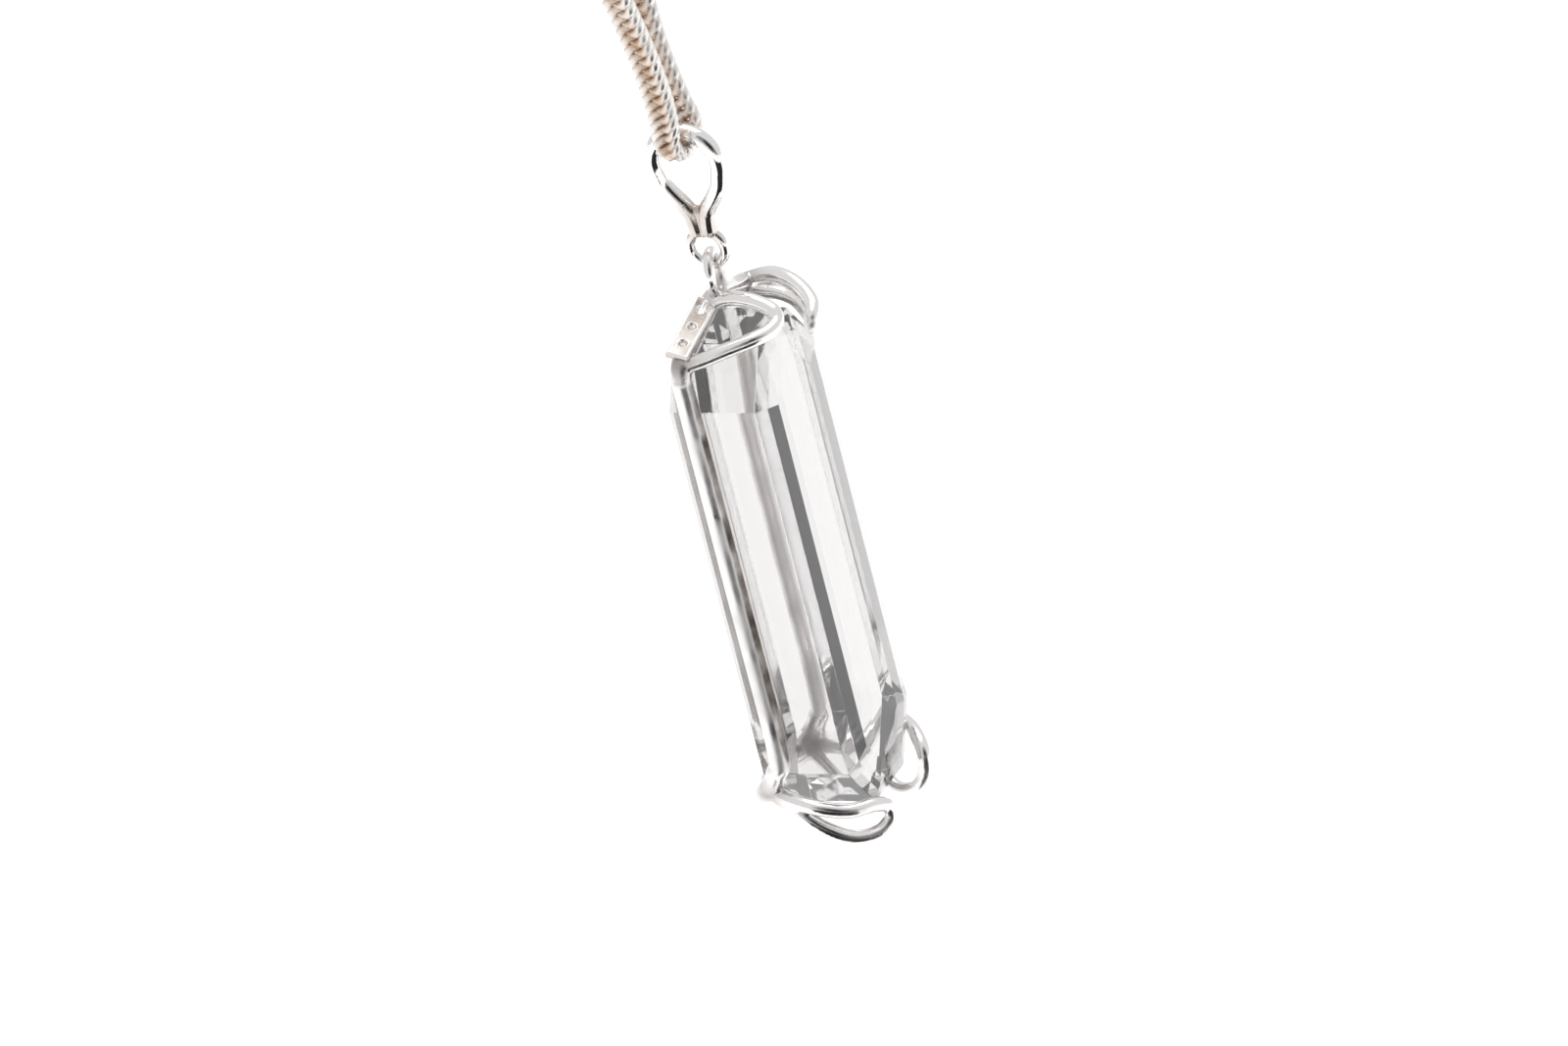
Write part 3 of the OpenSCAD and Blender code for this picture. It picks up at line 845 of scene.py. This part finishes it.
def make_dome(s):
    """White light from all sides with a grey zone near the lens, which the stone's facets
    show, and a black core in it, which draws the crisp dark lines on the silver. Each is where
    the direction's cosine to the zone's middle is large."""
    world = bpy.data.worlds.new("studio")
    bpy.context.scene.world = world
    world.use_nodes = True
    tree = world.node_tree
    tree.nodes.clear()
    right, up, back = view_axes()
    middle = unit(back + 0.25 * right - 0.1 * up)
    place = add(tree, "ShaderNodeTexCoord")
    dot = add(tree, "ShaderNodeVectorMath", {1: middle.tolist()}, operation="DOT_PRODUCT")
    shade = add(tree, "ShaderNodeBackground")
    out = add(tree, "ShaderNodeOutputWorld")
    link = tree.links.new
    link(place.outputs["Generated"], dot.inputs[0])
    level = None
    # Of each zone: its half angle, the share of it that is darkest, and the light left there
    for wide, darkest, left in ((s.dark, 0.75, 0.33), (s.core, 0.85, 0.05)):
        ramp = add(tree, "ShaderNodeMapRange",
                   {"From Min": math.cos(wide), "From Max": math.cos(wide * darkest),
                    "To Min": 1.0, "To Max": left}, interpolation_type="SMOOTHSTEP")
        link(dot.outputs["Value"], ramp.inputs["Value"])
        power = add(tree, "ShaderNodeMath", {1: s.dome}, operation="MULTIPLY")
        link(ramp.outputs[0], power.inputs[0])
        if level:
            link(level, power.inputs[1])
        level = power.outputs[0]
    link(level, shade.inputs["Strength"])
    link(shade.outputs[0], out.inputs["Surface"])


def make_floor(s):
    """Wide pale floor well below the pendant: a grid that is flat all over."""
    half, low, count = 3000.0, HANG_Z - 90.0, 9
    u = np.linspace(-half, half, count)
    x, y = np.meshgrid(u, u)
    points = np.stack([x, y, np.full_like(x, low)], -1).reshape(-1, 3)
    faces = grid_faces(count, count, False, False)[:, ::-1]
    mesh = mesh_of("floor", points, faces.tolist(), MM, 0.0)
    material, tree, shader = new_material("Pale floor")
    shader.inputs["Roughness"].default_value = 0.9
    shader.inputs["Emission Strength"].default_value = s.glow
    place = add(tree, "ShaderNodeTexCoord")
    paper = add(tree, "ShaderNodeTexNoise", {"Scale": 40})
    darker = [c * 0.985 for c in s.floor]
    tone = add(tree, "ShaderNodeMix", {"A": (*darker, 1), "B": (*s.floor, 1)}, data_type="RGBA")
    tree.links.new(place.outputs["Object"], paper.inputs["Vector"])
    tree.links.new(paper.outputs["Fac"], tone.inputs["Factor"])
    for label in ("Base Color", "Emission Color"):
        tree.links.new(tone.outputs["Result"], shader.inputs[label])
    mesh.materials.append(material)
    floor = placed("floor", mesh)


def make_dark_screen():
    """Black screen low in front of the pendant, part of a ball round it, which upright wires
    mirror as black lines: each point is the middle plus the radius times the direction of its
    turn and its rise. The lens and the soft light don't meet it."""
    columns, rows = 17, 11
    turn = np.radians(np.linspace(SCREEN_TURN - SCREEN_HALF, SCREEN_TURN + SCREEN_HALF, columns))
    rise = np.radians(np.linspace(SCREEN_LOW, SCREEN_HIGH, rows))
    e, a = np.meshgrid(rise, turn)
    ball = np.stack([np.cos(e) * np.cos(a), np.cos(e) * np.sin(a), np.sin(e)], -1).reshape(-1, 3)
    faces = grid_faces(columns, rows, False, False)
    mesh = mesh_of("dark_screen", ball * SCREEN_R, faces.tolist())
    material, _, shader = new_material("Black cloth")
    shader.inputs["Base Color"].default_value = (0.012, 0.011, 0.011, 1)
    shader.inputs["Roughness"].default_value = 1.0
    mesh.materials.append(material)
    screen = placed("dark_screen", mesh)
    screen.visible_camera = False
    screen.visible_diffuse = False
    screen.visible_transmission = False
    screen.visible_shadow = False


def make_lamp(s):
    """Soft square lamp high behind the pendant, which also lifts the floor to white."""
    data = bpy.data.lights.new("soft_lamp", "AREA")
    data.size = 0.9
    data.energy = s.lamp
    lamp = placed("soft_lamp", data)
    at = Vector((0.32, -0.05, HANG_Z * MM + 1.1))
    lamp.location = at
    aim = Vector((0, 0, HANG_Z * MM)) - at
    lamp.rotation_euler = aim.to_track_quat("-Z", "Y").to_euler()


# Operators and the panel

class PENDANT_OT_stone(bpy.types.Operator):
    """Make the step-cut stone"""
    bl_idname = "pendant.stone"
    bl_label = "Stone"

    def execute(self, context):
        make_stone(context.scene.pendant_stone)
        return {"FINISHED"}


class PENDANT_OT_frame(bpy.types.Operator):
    """Make the soldered hoop, prongs, drop ring and stamped plate"""
    bl_idname = "pendant.frame"
    bl_label = "Wire frame"

    def execute(self, context):
        make_hoop(context.scene.pendant_wire)
        make_plate(context.scene.pendant_wire)
        return {"FINISHED"}


class PENDANT_OT_bail(bpy.types.Operator):
    """Make the teardrop bail and its small ring"""
    bl_idname = "pendant.bail"
    bl_label = "Bail"

    def execute(self, context):
        make_bail(context.scene.pendant_wire)
        return {"FINISHED"}


class PENDANT_OT_chain(bpy.types.Operator):
    """Make the curb chain and its ring clasp"""
    bl_idname = "pendant.chain"
    bl_label = "Chain and clasp"

    def execute(self, context):
        make_chain(context.scene.pendant_chain)
        make_clasp(context.scene.pendant_chain)
        return {"FINISHED"}


class PENDANT_OT_stage(bpy.types.Operator):
    """Make the camera, the floor and the light"""
    bl_idname = "pendant.stage"
    bl_label = "Studio"

    def execute(self, context):
        settings = context.scene.pendant_studio
        make_camera()
        make_dome(settings)
        make_floor(settings)
        make_dark_screen()
        make_lamp(settings)
        context.scene.view_settings.view_transform = "Standard"
        return {"FINISHED"}


OPERATORS = (PENDANT_OT_stone, PENDANT_OT_frame, PENDANT_OT_bail, PENDANT_OT_chain, PENDANT_OT_stage)
GROUPS = {"pendant_stone": StoneSizes, "pendant_wire": WireSizes, "pendant_chain": ChainSizes,
          "pendant_studio": StudioSettings}


class PENDANT_PT_panel(bpy.types.Panel):
    """Lists the pendant's pieces and their sizes"""
    bl_label = "Pendant"
    bl_idname = "PENDANT_PT_panel"
    bl_space_type = "VIEW_3D"
    bl_region_type = "UI"
    bl_category = "Pendant"

    def draw(self, context):
        for operator in OPERATORS:
            self.layout.operator(operator.bl_idname)
        for name, group in GROUPS.items():
            box = self.layout.box()
            for field in group.__annotations__:
                box.prop(getattr(context.scene, name), field)


def register():
    """Adds the classes and the settings to the scene."""
    for item in (*GROUPS.values(), *OPERATORS, PENDANT_PT_panel):
        bpy.utils.register_class(item)
    for name, group in GROUPS.items():
        setattr(bpy.types.Scene, name, bpy.props.PointerProperty(type=group))


def unregister():
    """Takes them out again."""
    for name in GROUPS:
        delattr(bpy.types.Scene, name)
    for item in (PENDANT_PT_panel, *OPERATORS, *GROUPS.values()):
        bpy.utils.unregister_class(item)


def main():
    register()
    bpy.ops.pendant.stone()
    bpy.ops.pendant.frame()
    bpy.ops.pendant.bail()
    bpy.ops.pendant.chain()
    bpy.ops.pendant.stage()


if __name__ == "__main__":
    main()
